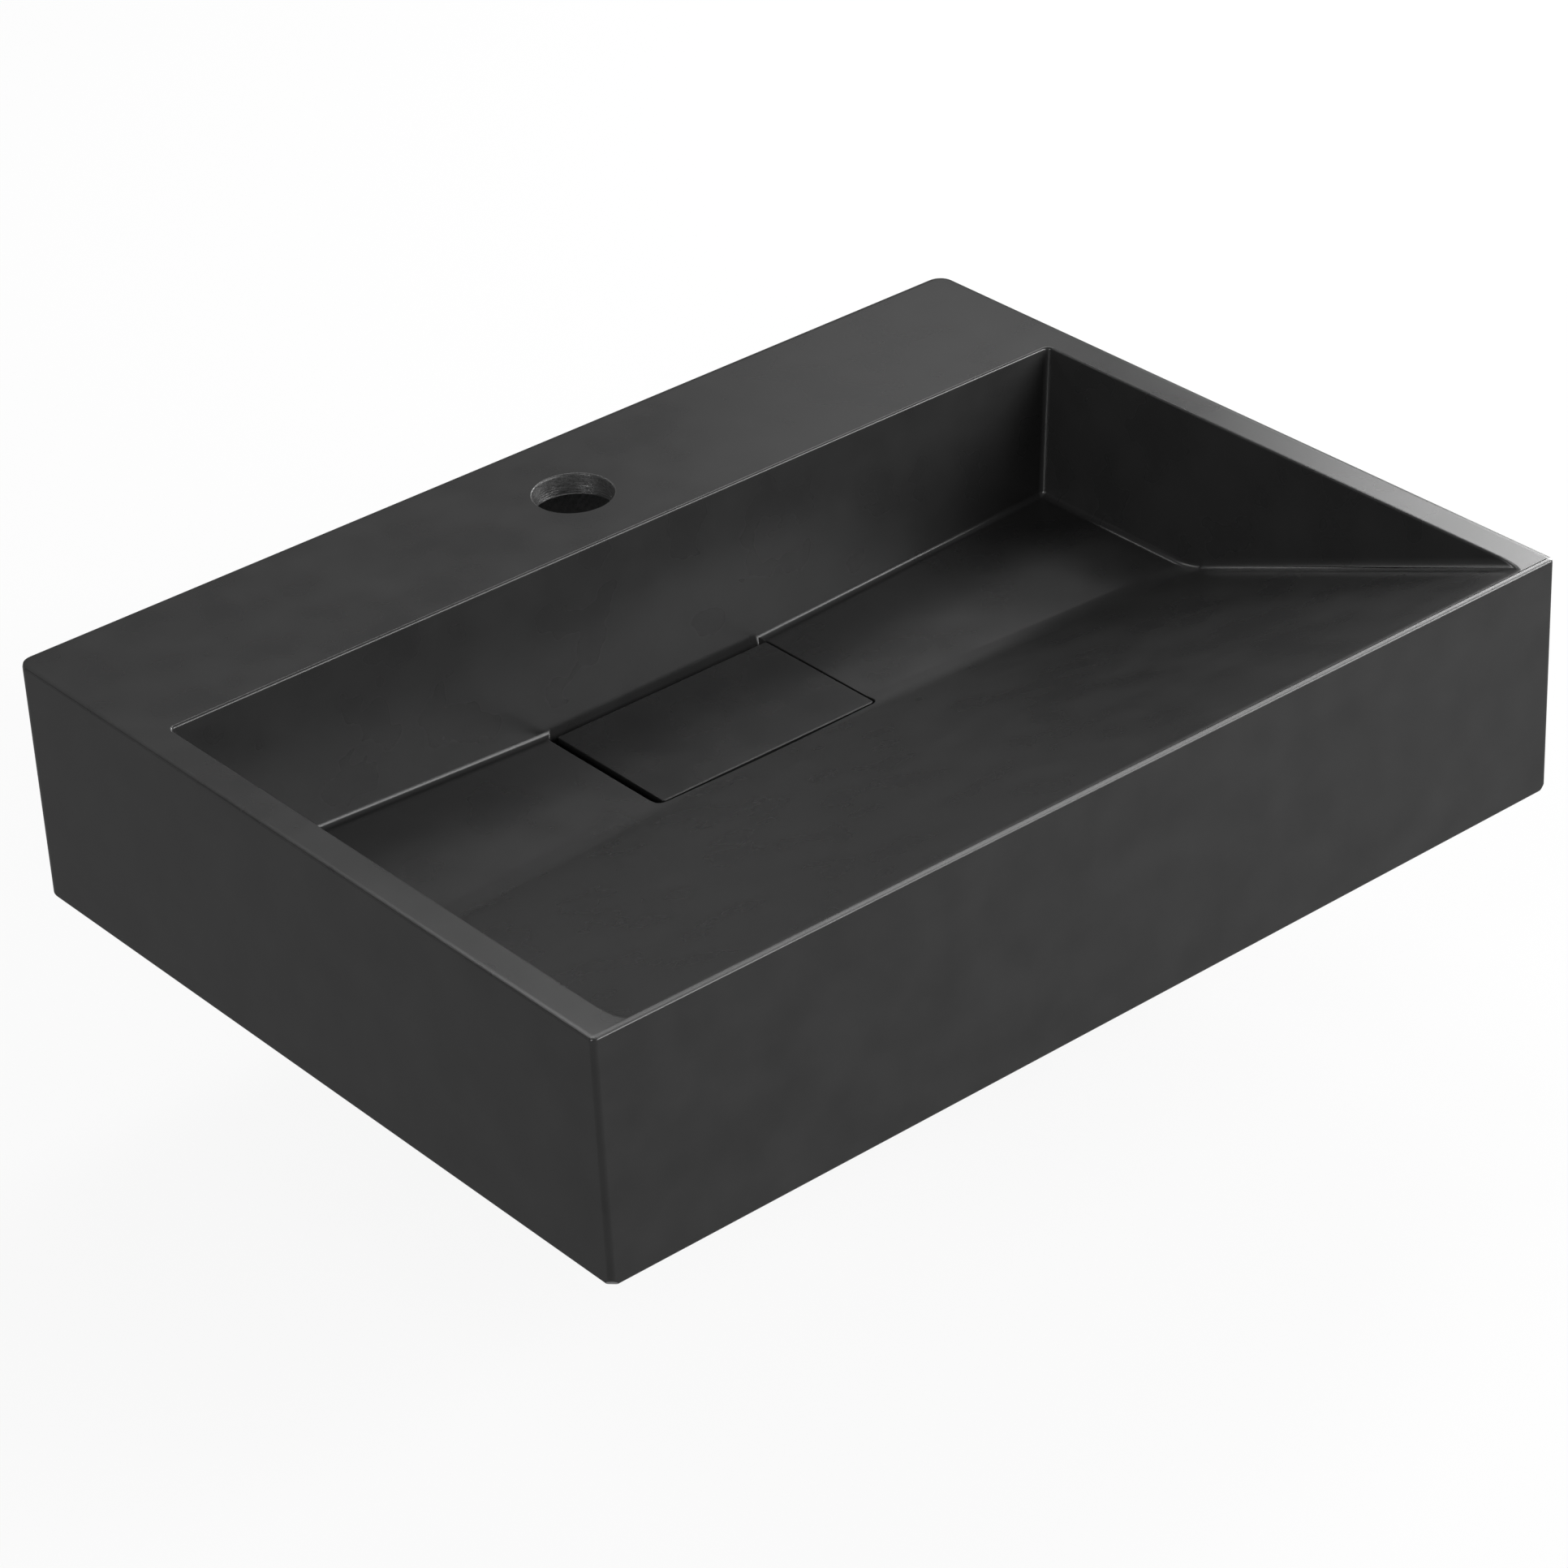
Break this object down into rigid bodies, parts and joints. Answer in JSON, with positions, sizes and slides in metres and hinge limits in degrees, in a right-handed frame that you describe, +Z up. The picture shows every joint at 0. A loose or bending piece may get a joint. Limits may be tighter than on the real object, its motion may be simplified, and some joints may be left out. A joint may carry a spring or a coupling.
{
  "type": "wall-hung washbasin",
  "caption": "Rectangular cast washbasin with a sloping front, a drilled tap deck, a lift-off cover over the waste, and its wall studs.",
  "frame": {"origin": "midway between the two wall studs, on the back face that lies against the wall", "axes": "+X along the wall to the right as seen from the front, +Y into the wall, +Z up"},
  "size_m": [0.5, 0.435, 0.205],
  "materials": {
    "cast_stone": "matte",
    "cover_stone": "matte",
    "silicone": "satin",
    "chromed_brass": "polished",
    "black_rubber": "matte",
    "white_nylon": "satin",
    "raw_brass": "satin",
    "zinc_steel": "satin"
  },
  "bodies": {
    "sink": {"basin": "cast_stone", "waste_flange": "chromed_brass", "flange_seal": "black_rubber", "under_washer": "black_rubber", "slip_washer": "white_nylon", "waste_nut": "raw_brass", "tail_seal": "black_rubber", "tailpiece": "chromed_brass", "wall_studs": "zinc_steel", "stud_sleeves": "white_nylon", "stud_washers": "zinc_steel", "stud_nuts": "zinc_steel"},
    "cover": {"drain_cover": "cover_stone", "cover_pads": "silicone"}
  },
  "joints": [
    {"name": "cover_lift", "type": "slide", "parent": "sink", "child": "cover", "axis": [0, 0, 1], "range_m": [0, 0.12]}
  ]
}
